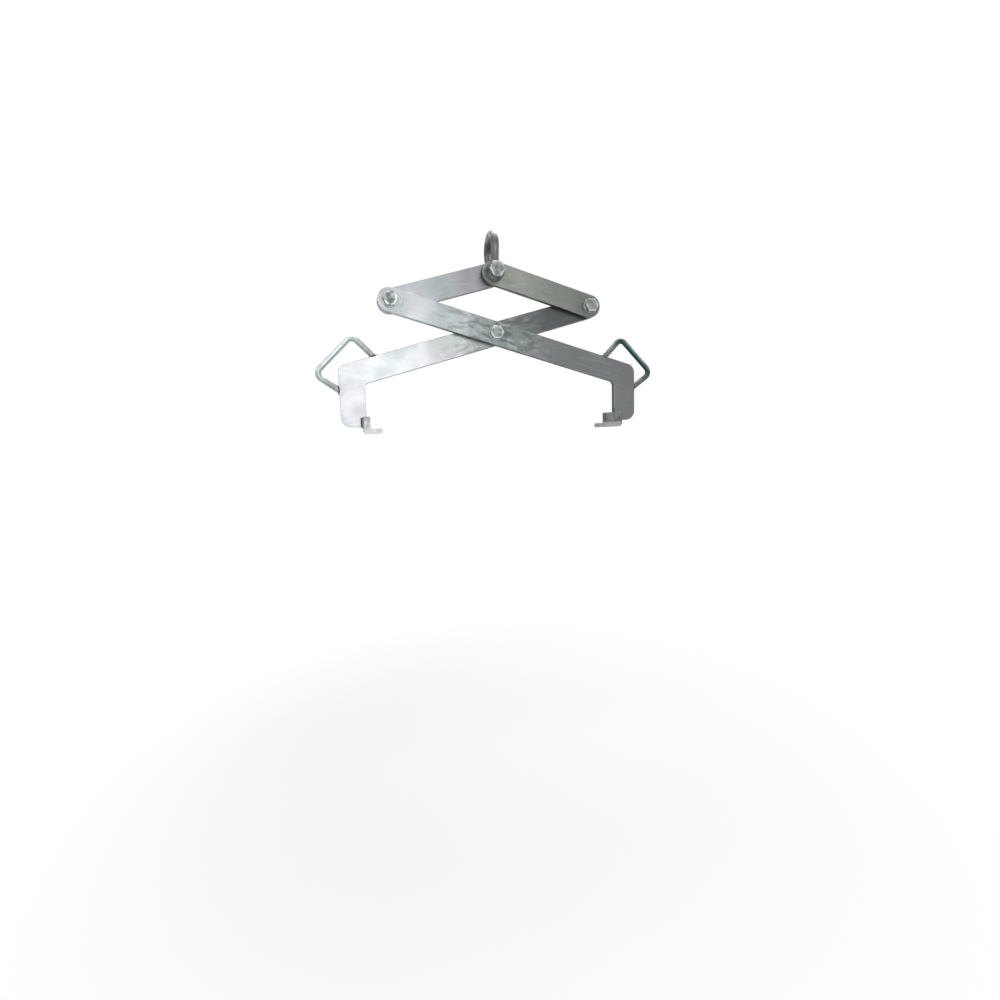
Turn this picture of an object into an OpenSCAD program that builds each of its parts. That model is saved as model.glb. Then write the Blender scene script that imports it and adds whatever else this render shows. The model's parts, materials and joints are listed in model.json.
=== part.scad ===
// Drum lifter: a scissor tong of flat steel bars that hangs from a bow shackle.
// The load pulls the shackle up, the bars fold and the two jaws close under the drum's rim.
// Frame: origin on the inside top of the shackle bow, where a hook sits. +Z is up, X runs
// from jaw to jaw and Y runs through the pivots, with the front at -Y.

/* [Drum] */
// Outer diameter of the drum's rolled rim
rim_d = 596; // [540:1:640]
// Height of the drum's rolled rim
rim_h = 14; // [10:1:20]

/* [Bars] */
// Distance between the two pivots of a link
link_len = 262; // [230:1:290]
// Slope of the bars with the jaws closed, in degrees
bar_slope = 15.8; // [14:0.1:19]
// Width of the bars
bar_w = 56; // [50:1:62]
// Thickness of the bars
bar_t = 15; // [10:1:16]
// Space between the front bars and the back bars
layer_gap = 2.5; // [1.5:0.1:4]

/* [Jaw arms] */
// Height of the centre pivot above the drum's rim
centre_h = 211; // [190:1:240]
// Width of the leg that hangs down to the jaw
leg_w = 59; // [48:1:66]
// How far the foot of the leg reaches below the drum's rim
foot_drop = 8; // [4:1:12]
// Corner radius on the outside of the elbow
elbow_r = 23; // [8:1:28]
// Corner radius on the inside of the elbow
elbow_in_r = 13; // [4:1:20]
// Corner radius on the outside of the foot
foot_r = 24; // [8:1:30]

/* [Handles] */
// Diameter of the bent rod
rod_d = 14; // [10:1:15]
// Bend radius at the middle of the rod
rod_bend_r = 16; // [12:1:20]
// Slope of the grip, in degrees
grip_slope = 45; // [40:1:54]
// Distance from the elbow's corner to the middle of the grip
grip_stand = 25; // [20:1:34]
// Length of the grip above the elbow's corner
grip_up = 75; // [60:1:90]
// Length of the grip below the elbow's corner
grip_down = 50; // [44:1:60]
// Lean of the handle's lower leg towards the grip, in degrees
low_leg_lean = 10; // [0:1:16]

/* [Jaw shoes] */
// Width of a shoe across the drum's rim
shoe_w = 84; // [60:1:120]
// Thickness of the shoe's back
shoe_t = 14; // [12:1:18]
// Space between the drum's rim and the shoe's back
rim_room = 18; // [12:1:24]
// Height of the shoe above the drum's rim
shoe_rise = 14; // [8:1:22]
// Thickness of the lip under the rim
lip_t = 11; // [8:1:16]
// Reach of the lip from the shoe's back
lip_reach = 27; // [20:1:32]
// Wall of the shoe's back that is left in front of the leg
shoe_web = 3; // [2:0.5:6]
// Radius on the outside of the shoe's heel
heel_r = 10; // [4:1:16]
// Fillet between the lip and the shoe's back
lip_fillet_r = 4; // [2:0.5:8]
// Rounding of the shoe's other edges
shoe_edge_r = 3; // [1:0.5:4]

/* [Pivot bolts] */
// Diameter of the pivot bolts
bolt_d = 20; // [16:1:22]
// Width across the flats of the bolt heads and nuts
bolt_af = 30; // [28:1:36]
// Height of the bolt heads
head_h = 12.5; // [8:0.5:16]
// Height of the hexagon of the lock nuts
nut_h = 16; // [10:0.5:20]
// Height of the locking collar on the nuts
collar_h = 4; // [2:0.5:6]
// Diameter of the locking collar on the nuts
collar_d = 27; // [25:0.5:28]
// Diameter of the washers
washer_d = 37; // [36:1:46]
// Thickness of the washers
washer_t = 3; // [2:0.5:4]
// Wall of the bushes in the arms
bush_wall = 3; // [2:0.5:5]

/* [Shackle] */
// Diameter of the shackle's bow
bow_d = 19; // [14:1:19]
// Inside width of the bow at its widest
bow_in_w = 51; // [50:1:64]
// Inside length from the pin to the top of the bow
bow_in_len = 71; // [66:1:90]
// Diameter of the shackle's eyes
eye_d = 46; // [40:1:54]
// Thickness of the shackle's eyes
eye_t = 20; // [20:0.5:26]
// Diameter of the shackle pin
pin_d = 22; // [18:1:24]
// Width across the flats of the pin's head and nut
pin_af = 34; // [32:1:40]
// Height of the pin's head
pin_head_h = 13; // [8:0.5:18]
// Height of the pin's nut
pin_nut_h = 18; // [12:0.5:22]
// Diameter of the washers on the shackle pin
pin_washer_d = 46; // [44:1:54]
// Thickness of the washers on the shackle pin
pin_washer_t = 2.5; // [1.5:0.5:4]
// Wall of the bush that the links turn on
pin_bush_wall = 4; // [2:0.5:6]
// Diameter of the split pin's wire, doubled
split_pin_d = 4; // [3:0.5:5]

/* [Clearances] */
// Radial clearance of a bush on its pin or bolt
turn_fit = 0.05; // [0.02:0.01:0.1]
// Radial clearance at the centre pivot
centre_fit = 0.25; // [0.05:0.05:0.4]
// Radial clearance of a bush in its seat
seat_fit = 0.02; // [0.01:0.01:0.05]
// Radial clearance of a fixed bolt in its hole
hole_room = 0.3; // [0.1:0.1:0.6]
// Side clearance between faces that turn on each other
side_fit = 0.15; // [0.05:0.05:0.3]
// Clearance of the leg in the shoe's slot, each side
slot_room = 0.1; // [0.05:0.05:0.3]

/* [Hidden] */
$fn = 96;
cut = 1;
// How far a rounding runs past the edge that it meets, so that the two cross
ease = 0.02;
// How far a corner's cut reaches past the corner, as a share of its radius
overreach = 1.2;
// A ball joins two curves of bent round bar: how far it stands out, and where they stop short
knuckle_proud = 0.05;
knuckle_gap = 0.3;

// Bars: half width, layers and pivots in the X-Z plane
bar_half_w = bar_w / 2;
stack_half = layer_gap / 2 + bar_t;
front_y = -stack_half;
back_y = layer_gap / 2;
pin_z = -(bow_in_len + pin_d / 2);
side_x = link_len * cos(bar_slope);
side_z = pin_z - link_len * sin(bar_slope);
centre_z = side_z - link_len * sin(bar_slope);
top_pivot = [0, pin_z];
left_pivot = [-side_x, side_z];
right_pivot = [side_x, side_z];
centre_pivot = [0, centre_z];
bar_along = [cos(bar_slope), -sin(bar_slope)];
bar_across = [sin(bar_slope), cos(bar_slope)];

// Jaw: levels and radii about the drum's axis
rim_z = centre_z - centre_h;
foot_z = rim_z - foot_drop;
face_r = rim_d / 2 + rim_room;
back_r = face_r + shoe_t;
tip_r = face_r - lip_reach;
lip_top_z = rim_z - rim_h;
lip_low_z = lip_top_z - lip_t;
shoe_top_z = rim_z + shoe_rise;
shoe_half_angle = asin(shoe_w / 2 / face_r);

// Leg and elbow of the right arm
leg_in_x = face_r + shoe_web;
leg_out_x = leg_in_x + leg_w;
elbow_out = [leg_out_x, centre_z + bar_half_w / cos(bar_slope) - leg_out_x * tan(bar_slope)];
elbow_in = [leg_in_x, centre_z - bar_half_w / cos(bar_slope) - leg_in_x * tan(bar_slope)];

// Handle: its lower outer corner and the legs that end on the arm
grip_len = grip_up + grip_down;
grip_out = [sin(grip_slope), cos(grip_slope)];
grip_along = [-cos(grip_slope), sin(grip_slope)];
grip_low = elbow_out + grip_stand * grip_out - grip_down * grip_along;
upper_rod_len = grip_stand + grip_up * tan(grip_slope - bar_slope);
lower_rod_len = (grip_low[0] - leg_out_x) / sin(grip_slope + low_leg_lean);
low_bend_x = rod_bend_r / tan(45 - low_leg_lean / 2);
rod_seat = 12;

// Pivot bolts and bushes
bolt_hole_d = bolt_d + 2 * hole_room;
bush_d = bolt_d + 2 * bush_wall;
bush_hole_d = bush_d + 2 * seat_fit;
mid_washer_t = layer_gap - 2 * side_fit;
bolt_stub = 5;
thread_chamfer = 2;

// Shackle: the bow is one large arc with a flare that runs on into each eye
shackle_half_w = stack_half + 2 * side_fit + pin_washer_t;
bow_leg_y = shackle_half_w + eye_t / 2;
bow_r = (bow_in_w + bow_d) / 2;
bow_centre_z = -bow_in_w / 2;
eye_sink = 6;
flare_end_z = pin_z + eye_d / 2 - eye_sink;
flare_h = bow_centre_z - flare_end_z;
flare_r = (pow(bow_leg_y, 2) + pow(flare_h, 2) - pow(bow_r, 2)) / (2 * (bow_r - bow_leg_y));
flare_angle = acos((bow_leg_y + flare_r) / (bow_r + flare_r));
eye_chamfer = 3;
pin_hole_d = pin_d + 2 * hole_room;
pin_bush_d = pin_d + 2 * pin_bush_wall;
pin_bush_hole_d = pin_bush_d + 2 * turn_fit;
eye_out_y = shackle_half_w + eye_t;
pin_nut_y = eye_out_y + pin_nut_h;
split_pin_y = pin_nut_y + split_pin_d;
pin_end_y = split_pin_y + 2 * split_pin_d;

// Colours
zinc = [0.70, 0.72, 0.73];
zinc_dark = [0.56, 0.58, 0.59];
zinc_teal = [0.60, 0.70, 0.69];
bright = [0.80, 0.81, 0.82];
bronze = [0.66, 0.52, 0.30];

// Unit vector along v
function unit(v) = v / norm(v);

// Centre of the arc of radius r in a corner whose edges leave it along u and v
function arc_centre(corner, u, v, r) = corner + unit(u + v) * r / sin(acos(u * v) / 2);

// Point on the edge along u where that arc starts
function arc_start(corner, u, v, r) = corner + u * r / tan(acos(u * v) / 2);

// Points that widen an outline at an inside corner, before the arc's circle is cut away
function fillet_points(corner, u, v, r) =
    [arc_start(corner, u, v, r), arc_centre(corner, u, v, r), arc_start(corner, v, u, r)];

// Extrudes an outline drawn in the X-Z plane over the bar's thickness, from y0 backwards
module bar_plate(y0, thickness = bar_t) {
    translate([0, y0 + thickness, 0])
        rotate([90, 0, 0])
            linear_extrude(thickness)
                children();
}

// Places something that turns about Y at a pivot, with its own Z along +Y
module at_pivot(pivot, y) {
    translate([pivot[0], y, pivot[1]])
        rotate([-90, 0, 0])
            children();
}

// Turns a right-hand piece into the left-hand one
module half_turn() {
    rotate([0, 0, 180])
        children();
}

// The sliver between a sharp outside corner and its arc
module corner_sliver(corner, u, v, r) {
    middle = arc_centre(corner, u, v, r);
    spokes = [corner, arc_start(corner, u, v, r), arc_start(corner, v, u, r)];
    tips = [for (spoke = spokes) middle + (spoke - middle) * overreach];
    difference() {
        polygon([tips[0], tips[1], middle, tips[2]]);
        translate(middle)
            circle(r + ease);
    }
}

// What is cut from a bar past a pivot, along a direction, to leave a round end
module round_end(pivot, along) {
    across = [-along[1], along[0]] * bar_w;
    difference() {
        polygon([pivot + across, pivot + across + along * bar_w,
            pivot - across + along * bar_w, pivot - across]);
        translate(pivot)
            circle(bar_half_w + ease);
    }
}

// Straight bar outline with round ends
module link_outline(from, to) {
    along = unit(to - from);
    across = [-along[1], along[0]] * bar_half_w;
    end = along * (bar_half_w + cut);
    difference() {
        polygon([from - end + across, to + end + across, to + end - across, from - end - across]);
        round_end(from, -along);
        round_end(to, along);
    }
}

// Bent outline of the arm with the right jaw: bar, elbow and leg
module arm_outline() {
    side = bar_across * bar_half_w;
    tail = left_pivot - bar_along * (bar_half_w + cut);
    down = [0, -1];
    difference() {
        polygon(concat(
            [tail + side, elbow_out, [leg_out_x, foot_z], [leg_in_x, foot_z]],
            fillet_points(elbow_in, down, -bar_along, elbow_in_r),
            [tail - side]
        ));
        round_end(left_pivot, -bar_along);
        corner_sliver(elbow_out, -bar_along, down, elbow_r);
        corner_sliver([leg_out_x, foot_z], [-1, 0], -down, foot_r);
        translate(arc_centre(elbow_in, down, -bar_along, elbow_in_r))
            circle(elbow_in_r + ease);
    }
}

// Hexagon prism with its corners turned off at one end or both
module hex_prism(af, h, turn_low, turn_high) {
    corner_r = af / 2 / cos(30);
    reach = corner_r + cut;
    rise = (reach - af / 2) * tan(30);
    low_edge = turn_low ? [[af / 2, 0], [reach, rise]] : [[reach, 0]];
    high_edge = turn_high ? [[reach, h - rise], [af / 2, h]] : [[reach, h]];
    intersection() {
        cylinder(r = corner_r, h = h, $fn = 6);
        rotate_extrude()
            polygon(concat([[0, 0]], low_edge, high_edge, [[0, h]]));
    }
}

// Flat ring
module ring(d_out, d_in, h) {
    difference() {
        cylinder(d = d_out, h = h);
        translate([0, 0, -cut])
            cylinder(d = d_in, h = h + 2 * cut);
    }
}

// Hexagon bolt along +Z: the head is below z = 0 and the shank ends in a chamfer
module hex_bolt(d, af, head, shank) {
    translate([0, 0, -head])
        hex_prism(af, head, true, false);
    cylinder(d = d, h = shank - thread_chamfer);
    translate([0, 0, shank - thread_chamfer])
        cylinder(d1 = d, d2 = d - 2 * thread_chamfer, h = thread_chamfer);
}

// Pivot bolt from the front; the side fits are the gaps left next to a bar that turns on it
module pivot_bolt(pivot, front_fit, back_fit) {
    seat_y = front_y - front_fit - washer_t;
    end_y = stack_half + back_fit + washer_t + nut_h + collar_h + bolt_stub;
    color(bright)
        at_pivot(pivot, seat_y)
            hex_bolt(bolt_d, bolt_af, head_h, end_y - seat_y);
}

// Lock nut on the back end of a pivot bolt
module pivot_nut(pivot, back_fit) {
    color(bright)
        at_pivot(pivot, stack_half + back_fit + washer_t)
            difference() {
                union() {
                    hex_prism(bolt_af, nut_h, true, true);
                    cylinder(d = collar_d, h = nut_h + collar_h);
                }
                translate([0, 0, -cut])
                    cylinder(d = bolt_d + 2 * turn_fit, h = nut_h + collar_h + 2 * cut);
            }
}

// Washers under the head, between the bars and under the nut
module pivot_washers(pivot, front_fit, back_fit) {
    color(zinc_dark) {
        at_pivot(pivot, front_y - front_fit - washer_t)
            ring(washer_d, bolt_hole_d, washer_t);
        at_pivot(pivot, -mid_washer_t / 2)
            ring(washer_d, bolt_hole_d, mid_washer_t);
        at_pivot(pivot, stack_half + back_fit)
            ring(washer_d, bolt_hole_d, washer_t);
    }
}

// Bush pressed into the bore of an arm
module arm_bush(pivot, y0, fit) {
    color(bronze)
        at_pivot(pivot, y0)
            ring(bush_d, bolt_d + 2 * fit, bar_t);
}

// Bent arm plate with its two pivot holes
module arm_plate(centre_hole_d) {
    color(zinc)
        bar_plate(front_y)
            difference() {
                arm_outline();
                translate(left_pivot)
                    circle(d = bush_hole_d);
                translate(centre_pivot)
                    circle(d = centre_hole_d);
            }
}

// Bent rod handle whose two ends are cut to the edges of the arm
module rod_handle() {
    color(zinc_teal)
        difference() {
            translate([grip_low[0], front_y + bar_t / 2, grip_low[1]])
                rotate([90, 0, 0])
                    rotate([0, 0, 180 - grip_slope])
                        bent_rod();
            bar_plate(front_y - cut, bar_t + 2 * cut)
                arm_outline();
        }
}

// The rod before it is cut: grip along X, upper leg along +Y and lower leg leant towards the grip
module bent_rod() {
    grip_from = low_bend_x + knuckle_gap;
    stop_angle = knuckle_gap / rod_bend_r * 180 / PI;
    translate([grip_from, 0, 0])
        rotate([0, 90, 0])
            cylinder(d = rod_d, h = grip_len - grip_from - rod_bend_r);
    translate([low_bend_x, 0, 0])
        rotate([0, 90, 0])
            knuckle(rod_d);
    rod_corner([low_bend_x, rod_bend_r], 180 - low_leg_lean + stop_angle,
        90 + low_leg_lean - 2 * stop_angle);
    rod_corner([grip_len - rod_bend_r, rod_bend_r], 270, 90);
    rotate([0, 0, -low_leg_lean]) {
        translate([0, low_bend_x, 0])
            rotate([90, 0, 0])
                knuckle(rod_d);
        rod_leg(low_bend_x + knuckle_gap, lower_rod_len);
    }
    translate([grip_len, 0, 0])
        rod_leg(rod_bend_r, upper_rod_len);
}

// Bend of the rod
module rod_corner(bend_centre, start_angle, sweep) {
    translate(bend_centre)
        rotate([0, 0, start_angle])
            rotate_extrude(angle = sweep)
                translate([rod_bend_r, 0])
                    circle(d = rod_d);
}

// Leg of the rod from the end of its bend, run on into the arm
module rod_leg(from, len) {
    translate([0, from, 0])
        rotate([-90, 0, 0])
            cylinder(d = rod_d, h = len - from + rod_seat);
}

// Ball that carries bent round bar from one curve into the next
module knuckle(d) {
    sphere(d = d + 2 * knuckle_proud);
}

// Section of a shoe: back and lip, drawn as radius and height
module shoe_section() {
    lip_root = [face_r, lip_top_z];
    difference() {
        polygon(concat(
            [[tip_r, lip_low_z], [back_r, lip_low_z], [back_r, shoe_top_z], [face_r, shoe_top_z]],
            fillet_points(lip_root, [0, 1], [-1, 0], lip_fillet_r),
            [[tip_r, lip_top_z]]
        ));
        corner_sliver([back_r, lip_low_z], [-1, 0], [0, 1], heel_r);
        corner_sliver([tip_r, lip_low_z], [1, 0], [0, 1], shoe_edge_r);
        corner_sliver([tip_r, lip_top_z], [1, 0], [0, -1], shoe_edge_r);
        corner_sliver([face_r, shoe_top_z], [1, 0], [0, -1], shoe_edge_r);
        corner_sliver([back_r, shoe_top_z], [-1, 0], [0, -1], shoe_edge_r);
        translate(arc_centre(lip_root, [0, 1], [-1, 0], lip_fillet_r))
            circle(lip_fillet_r + ease);
    }
}

// Jaw shoe curved to the drum, with a slot that takes the inner edge of the leg
module jaw_shoe() {
    color(zinc_dark)
        difference() {
            rotate([0, 0, -shoe_half_angle])
                rotate_extrude(angle = 2 * shoe_half_angle, $fn = 360)
                    shoe_section();
            translate([leg_in_x, front_y - slot_room, foot_z])
                cube([shoe_t + leg_w, bar_t + 2 * slot_room, shoe_rise + foot_drop + cut]);
        }
}

// Arc of the bow in the Y-Z plane about (y, z), which stops just short of the balls at its ends
module bow_arc(y, z, r, start_angle, sweep) {
    gap_angle = knuckle_gap / r * 180 / PI;
    translate([0, y, z])
        rotate([90, 0, 90])
            rotate([0, 0, start_angle + gap_angle])
                rotate_extrude(angle = sweep - 2 * gap_angle)
                    translate([r, 0])
                        circle(d = bow_d);
}

// One side of the shackle: eye and flare
module bow_side() {
    bow_arc(bow_leg_y + flare_r, flare_end_z, flare_r, 180 - flare_angle, flare_angle);
    translate([0, bow_r * cos(flare_angle), bow_centre_z - bow_r * sin(flare_angle)])
        knuckle(bow_d);
    at_pivot(top_pivot, shackle_half_w)
        rotate_extrude()
            polygon([
                [0, 0], [eye_d / 2 - eye_chamfer, 0], [eye_d / 2, eye_chamfer],
                [eye_d / 2, eye_t - eye_chamfer], [eye_d / 2 - eye_chamfer, eye_t], [0, eye_t]
            ]);
}

module shackle_bow() {
    color(zinc_dark)
        difference() {
            union() {
                bow_arc(0, bow_centre_z, bow_r, -flare_angle, 180 + 2 * flare_angle);
                bow_side();
                half_turn()
                    bow_side();
            }
            at_pivot(top_pivot, -eye_out_y - cut)
                cylinder(d = pin_hole_d, h = 2 * (eye_out_y + cut));
        }
}

module shackle_pin() {
    color(bright)
        difference() {
            at_pivot(top_pivot, -eye_out_y)
                hex_bolt(pin_d, pin_af, pin_head_h, eye_out_y + pin_end_y);
            translate([0, split_pin_y, pin_z - pin_d])
                cylinder(d = split_pin_d + 2 * hole_room, h = 2 * pin_d);
        }
}

module shackle_nut() {
    color(bright)
        at_pivot(top_pivot, eye_out_y)
            difference() {
                hex_prism(pin_af, pin_nut_h, true, true);
                translate([0, 0, -cut])
                    cylinder(d = pin_d + 2 * turn_fit, h = pin_nut_h + 2 * cut);
            }
}

// Split pin through the end of the shackle pin, with its eye at the top and its legs spread
module split_pin() {
    eye_r = split_pin_d;
    leg_len = 2 * split_pin_d;
    spread = 25;
    shaft_low = -pin_d / 2 - split_pin_d / 2;
    color(zinc_dark)
        translate([0, split_pin_y, pin_z]) {
            translate([0, 0, shaft_low])
                cylinder(d = split_pin_d, h = pin_d + split_pin_d);
            translate([0, 0, -shaft_low + eye_r])
                rotate([90, 0, 0])
                    rotate_extrude()
                        translate([eye_r, 0])
                            circle(d = split_pin_d / 2);
            for (turn = [-spread, spread])
                translate([0, 0, shaft_low + split_pin_d / 4])
                    rotate([0, 180 + turn, 0])
                        cylinder(d = split_pin_d / 2, h = leg_len);
        }
}

module top_bush() {
    bush_half_len = stack_half + side_fit;
    color(bronze)
        at_pivot(top_pivot, -bush_half_len)
            ring(pin_bush_d, pin_d + 2 * turn_fit, 2 * bush_half_len);
}

module top_washers() {
    bush_half_len = stack_half + side_fit;
    color(zinc_dark) {
        for (y = [-bush_half_len - pin_washer_t, bush_half_len])
            at_pivot(top_pivot, y)
                ring(pin_washer_d, pin_d + 2 * turn_fit, pin_washer_t);
        at_pivot(top_pivot, -mid_washer_t / 2)
            ring(pin_washer_d, pin_bush_d + 2 * turn_fit, mid_washer_t);
    }
}

// Link from the top pivot to a side pivot
module link_plate(y0, side_pivot) {
    color(zinc)
        bar_plate(y0)
            difference() {
                link_outline(top_pivot, side_pivot);
                translate(top_pivot)
                    circle(d = pin_bush_hole_d);
                translate(side_pivot)
                    circle(d = bolt_hole_d);
            }
}

module left_link() {
    link_plate(back_y, left_pivot);
}

module left_pivot_bolt() {
    pivot_bolt(left_pivot, side_fit, 0);
}

module left_pivot_nut() {
    pivot_nut(left_pivot, 0);
}

module left_pivot_washers() {
    pivot_washers(left_pivot, side_fit, 0);
}

module right_link() {
    link_plate(front_y, right_pivot);
}

module right_pivot_bolt() {
    pivot_bolt(right_pivot, 0, side_fit);
}

module right_pivot_nut() {
    pivot_nut(right_pivot, side_fit);
}

module right_pivot_washers() {
    pivot_washers(right_pivot, 0, side_fit);
}

module right_jaw_arm() {
    arm_plate(bolt_hole_d);
}

module left_pivot_bush() {
    arm_bush(left_pivot, front_y, turn_fit);
}

module right_handle() {
    rod_handle();
}

module right_jaw_shoe() {
    jaw_shoe();
}

module centre_bolt() {
    pivot_bolt(centre_pivot, 0, side_fit);
}

module centre_nut() {
    pivot_nut(centre_pivot, side_fit);
}

module centre_washers() {
    pivot_washers(centre_pivot, 0, side_fit);
}

module left_jaw_arm() {
    half_turn()
        arm_plate(bush_hole_d);
}

module right_pivot_bush() {
    arm_bush(right_pivot, back_y, turn_fit);
}

module centre_bush() {
    arm_bush(centre_pivot, back_y, centre_fit);
}

module left_handle() {
    half_turn()
        rod_handle();
}

module left_jaw_shoe() {
    half_turn()
        jaw_shoe();
}

shackle_bow();
shackle_pin();
shackle_nut();
split_pin();
top_bush();
top_washers();
left_link();
left_pivot_bolt();
left_pivot_nut();
left_pivot_washers();
right_link();
right_pivot_bolt();
right_pivot_nut();
right_pivot_washers();
right_jaw_arm();
left_pivot_bush();
right_handle();
right_jaw_shoe();
centre_bolt();
centre_nut();
centre_washers();
left_jaw_arm();
right_pivot_bush();
centre_bush();
left_handle();
left_jaw_shoe();
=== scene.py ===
import json
import math

import bpy
from mathutils import Matrix, Vector


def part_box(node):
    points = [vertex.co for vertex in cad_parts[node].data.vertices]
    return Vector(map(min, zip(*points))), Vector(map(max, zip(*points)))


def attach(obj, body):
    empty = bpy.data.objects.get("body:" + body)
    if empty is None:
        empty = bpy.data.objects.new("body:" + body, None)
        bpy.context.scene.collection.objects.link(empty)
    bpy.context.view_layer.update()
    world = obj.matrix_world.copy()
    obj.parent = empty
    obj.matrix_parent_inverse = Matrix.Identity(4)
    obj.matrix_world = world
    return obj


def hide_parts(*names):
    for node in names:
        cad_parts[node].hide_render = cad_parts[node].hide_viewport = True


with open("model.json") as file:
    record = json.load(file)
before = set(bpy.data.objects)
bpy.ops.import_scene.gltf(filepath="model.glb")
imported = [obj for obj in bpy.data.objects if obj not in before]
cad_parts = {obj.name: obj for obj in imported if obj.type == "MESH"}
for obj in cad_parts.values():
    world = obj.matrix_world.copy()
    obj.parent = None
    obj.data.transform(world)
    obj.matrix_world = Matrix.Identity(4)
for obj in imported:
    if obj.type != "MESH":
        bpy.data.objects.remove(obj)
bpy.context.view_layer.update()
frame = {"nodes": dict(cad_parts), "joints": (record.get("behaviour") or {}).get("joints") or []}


# Shackle bow: one steel forging, hot-dip galvanised, so that its zinc is dull and cloudy.
# It carries the whole lifter, and the hook rubs it bright on the inside of its crown.

def add_node(tree, kind, options=(), feeds=()):
    """Puts a shader node in a tree. feeds gives its sockets a value or an output."""
    node = tree.nodes.new("ShaderNode" + kind)
    for option, value in dict(options).items():
        setattr(node, option, value)
    for socket, value in dict(feeds).items():
        if isinstance(value, bpy.types.NodeSocket):
            tree.links.new(value, node.inputs[socket])
        else:
            node.inputs[socket].default_value = value
    return node


def start_effect(name, inputs, outputs):
    """Makes an empty node group and gives it with the sockets of its two ends."""
    effect = bpy.data.node_groups.new(name, "ShaderNodeTree")
    for label, kind in inputs.items():
        effect.interface.new_socket(label, in_out="INPUT", socket_type="NodeSocket" + kind)
    for label in outputs:
        effect.interface.new_socket(label, in_out="OUTPUT", socket_type="NodeSocketFloat")
    given = effect.nodes.new("NodeGroupInput").outputs
    result = effect.nodes.new("NodeGroupOutput").inputs
    return effect, given, result


def add_effect(tree, effect, **values):
    """Places a node group in a material with its own values."""
    node = add_node(tree, "Group", {"node_tree": effect})
    for label, value in values.items():
        node.inputs[label.title()].default_value = value
    return node.outputs


def start_finish(name, metallic):
    """Makes a material and gives it with its node tree and its shader."""
    finish = bpy.data.materials.new(name)
    finish.use_nodes = True
    shader = finish.node_tree.nodes["Principled BSDF"]
    shader.inputs["Metallic"].default_value = metallic
    return finish, finish.node_tree, shader


def place_on(tree):
    """The place of a point on the piece."""
    return add_node(tree, "TexCoord").outputs["Object"]


def mix_colour(tree, mask, low, high, blend="MIX"):
    """Goes from one colour to another where a mask rises, or multiplies it by the other."""
    options = {"data_type": "RGBA", "blend_type": blend}
    return add_node(tree, "Mix", options, {0: mask, 6: low, 7: high}).outputs[2]


def spread(tree, value, low, high, to_low=0.0, to_high=1.0):
    """Stretches the part of a value between low and high over a new range, softly."""
    options = {"interpolation_type": "SMOOTHSTEP"}
    feeds = {"Value": value, 1: low, 2: high, 3: to_low, 4: to_high}
    return add_node(tree, "MapRange", options, feeds).outputs[0]


def combine(tree, operation, a, b):
    """Combines two values."""
    return add_node(tree, "Math", {"operation": operation}, {0: a, 1: b}).outputs[0]


def noise(tree, vector, scale, detail, distortion=0.0):
    """A cloud of values about 0.5."""
    feeds = {"Vector": vector, "Scale": scale, "Detail": detail, "Distortion": distortion}
    return add_node(tree, "TexNoise", {}, feeds).outputs[0]


def feed(shader, socket, value):
    """Leads a value that changes over the surface to one of a shader's sockets."""
    shader.id_data.links.new(value, shader.inputs[socket])


def roughen(tree, shader, height, strength, distance):
    """Gives a finish its fine relief."""
    skin = add_node(tree, "Bump", {}, {
        "Strength": strength, "Distance": distance, "Height": height,
    })
    feed(shader, "Normal", skin.outputs[0])


zinc_cloud, given, result = start_effect(
    "zinc_cloud", {"Patches": "Float", "Spangle": "Float"}, ["Shade", "Drift", "Grain"]
)
place = place_on(zinc_cloud)
cloud = noise(zinc_cloud, place, given["Patches"], 5.0)
crystals = add_node(zinc_cloud, "TexVoronoi", {}, {"Vector": place, "Scale": 150.0})
crystal = add_node(zinc_cloud, "SeparateColor", {}, {0: crystals.outputs["Color"]})
shade = add_node(zinc_cloud, "Mix", {}, {
    0: given["Spangle"], 2: spread(zinc_cloud, cloud, 0.3, 0.7), 3: crystal.outputs[0],
})
drift = noise(zinc_cloud, place, combine(zinc_cloud, "MULTIPLY", given["Patches"], 0.55), 1.5)
zinc_cloud.links.new(shade.outputs[0], result["Shade"])
zinc_cloud.links.new(spread(zinc_cloud, drift, 0.36, 0.64), result["Drift"])
zinc_cloud.links.new(noise(zinc_cloud, place, 900.0, 3.0), result["Grain"])

forging, tree, shader = start_finish("galvanised_forging", 0.8)
zinc = add_effect(tree, zinc_cloud, patches=34.0, spangle=0.14)
height = add_node(tree, "SeparateXYZ", {}, {0: place_on(tree)}).outputs[2]
hook_rub = combine(
    tree, "MULTIPLY", spread(tree, height, -0.014, 0.004),
    spread(tree, zinc["Shade"], 0.1, 0.7, 0.45, 0.95),
)
grey = mix_colour(tree, zinc["Shade"], (0.075, 0.080, 0.078, 1), (0.205, 0.216, 0.212, 1))
feed(shader, "Base Color", mix_colour(tree, hook_rub, grey, (0.40, 0.41, 0.40, 1)))
feed(shader, "Roughness", spread(tree, zinc["Shade"], 0.0, 1.0, 0.58, 0.38))
roughen(tree, shader, zinc["Grain"], 0.15, 0.0005)


def take(piece):
    """Makes one piece the only selected and the active one."""
    bpy.ops.object.select_all(action="DESELECT")
    piece.select_set(True)
    bpy.context.view_layer.objects.active = piece


def edit(piece):
    """Takes one piece into edit mode, with nothing of it selected."""
    take(piece)
    bpy.ops.object.mode_set(mode="EDIT")
    bpy.ops.mesh.select_all(action="DESELECT")


def apply_modifier(piece, kind, **settings):
    """Adds a modifier to a piece and applies it."""
    take(piece)
    modifier = piece.modifiers.new(kind.lower(), kind)
    for setting, value in settings.items():
        setattr(modifier, setting, value)
    bpy.ops.object.modifier_apply(modifier=modifier.name)


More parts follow.
